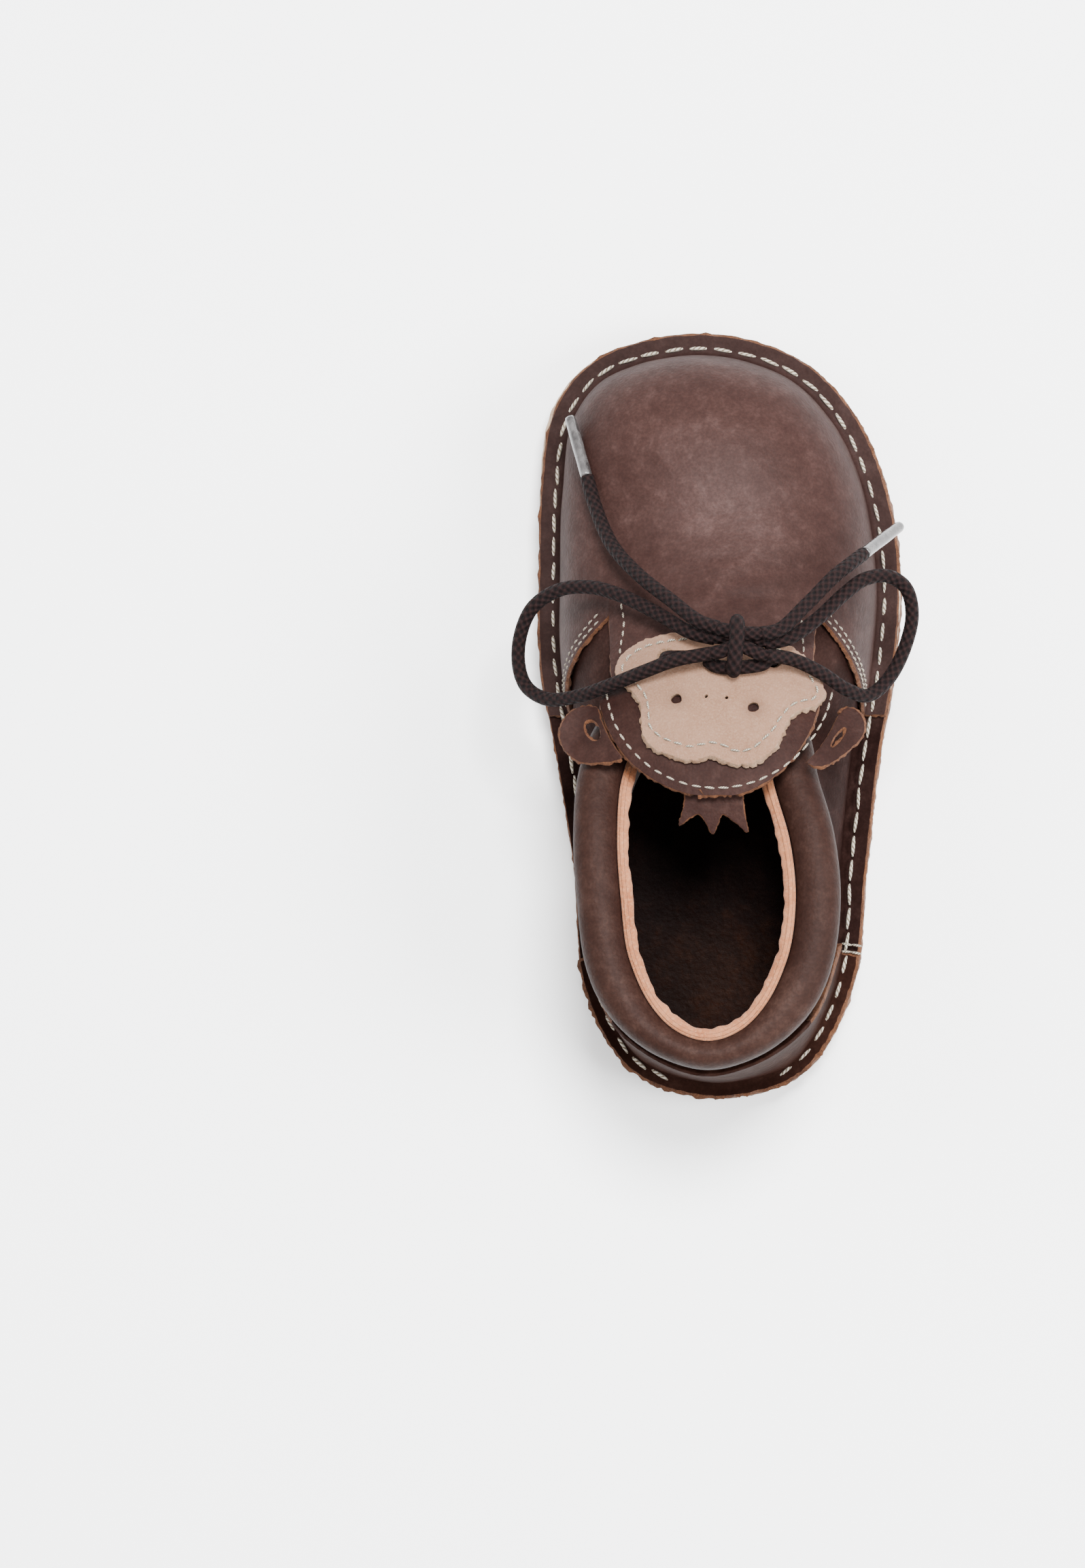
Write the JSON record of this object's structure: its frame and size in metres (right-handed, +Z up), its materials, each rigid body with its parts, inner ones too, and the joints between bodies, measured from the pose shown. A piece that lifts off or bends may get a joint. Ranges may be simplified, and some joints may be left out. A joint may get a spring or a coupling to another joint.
{
  "type": "toddler lace-up shoe",
  "caption": "Soft leather toddler lace-up shoe with a flat stitched sole, a padded collar and an animal-face tongue flap with a tied lace.",
  "frame": {"origin": "middle of the sole's outline at the ground", "axes": "+Y to the toe, +X to the outer side of a right foot, +Z up"},
  "size_m": [0.0789, 0.15, 0.0587],
  "materials": {
    "crepe_outsole": "matte crepe rubber with fine bumps on its edge",
    "pale_midsole": "matte cream crepe",
    "board": "plain tan fibre board",
    "insole_leather": "smooth dark brown leather",
    "upper_leather": "soft warm brown leather with fine grain and low sheen",
    "quarter_leather": "soft dark brown leather with fine grain and low sheen",
    "lining_leather": "napped natural peach-tan leather",
    "collar_leather": "soft padded brown leather",
    "foam": "open foam",
    "patch_suede": "pale tan suede with a raw edge",
    "lace": "round braided dark brown cotton",
    "aglet": "clear plastic film over the braid"
  },
  "bodies": {
    "shoe": {"outsole": "crepe_outsole", "midsole": "pale_midsole", "insole_board": "board", "insole_cover": "insole_leather", "vamp": "upper_leather", "toe_puff": "board", "medial_quarter": "quarter_leather", "lateral_quarter": "quarter_leather", "heel_counter": "quarter_leather", "heel_stiffener": "board", "quarter_lining": "lining_leather", "vamp_lining": "lining_leather", "collar_cover": "collar_leather", "collar_foam": "foam", "face_patch_front": "patch_suede", "lace_knot": "lace", "lace_run": "lace", "lace_medial_loop": "lace", "lace_lateral_loop": "lace", "lace_medial_tail": "lace", "lace_lateral_tail": "lace", "medial_aglet": "aglet", "lateral_aglet": "aglet"},
    "head": {"flap": "upper_leather", "face_patch_rear": "patch_suede"},
    "inner_ear": {"medial_ear": "upper_leather"},
    "outer_ear": {"lateral_ear": "upper_leather"},
    "tuft": {"hair_tuft": "upper_leather"}
  },
  "joints": [
    {"name": "flap_lift", "type": "hinge", "parent": "shoe", "child": "head", "pos_m": [0, 0.00485, 0.0539], "axis": [-1, 0, 0], "range_deg": [0, 55], "stiffness_Nm_per_rad": 0.004},
    {"name": "inner_ear_flex", "type": "hinge", "parent": "head", "child": "inner_ear", "pos_m": [-0.01895, -0.00475, 0.05095], "axis": [-0.4338, 0.7807, -0.4498], "range_deg": [0, 45], "stiffness_Nm_per_rad": 0.001},
    {"name": "outer_ear_flex", "type": "hinge", "parent": "head", "child": "outer_ear", "pos_m": [0.02175, -0.0062, 0.05115], "axis": [-0.466, -0.742, 0.482], "range_deg": [0, 45], "stiffness_Nm_per_rad": 0.001},
    {"name": "tuft_flex", "type": "hinge", "parent": "head", "child": "tuft", "pos_m": [0.0018, -0.0142, 0.0545], "axis": [1, 0, 0], "range_deg": [0, 35], "stiffness_Nm_per_rad": 0.001}
  ]
}
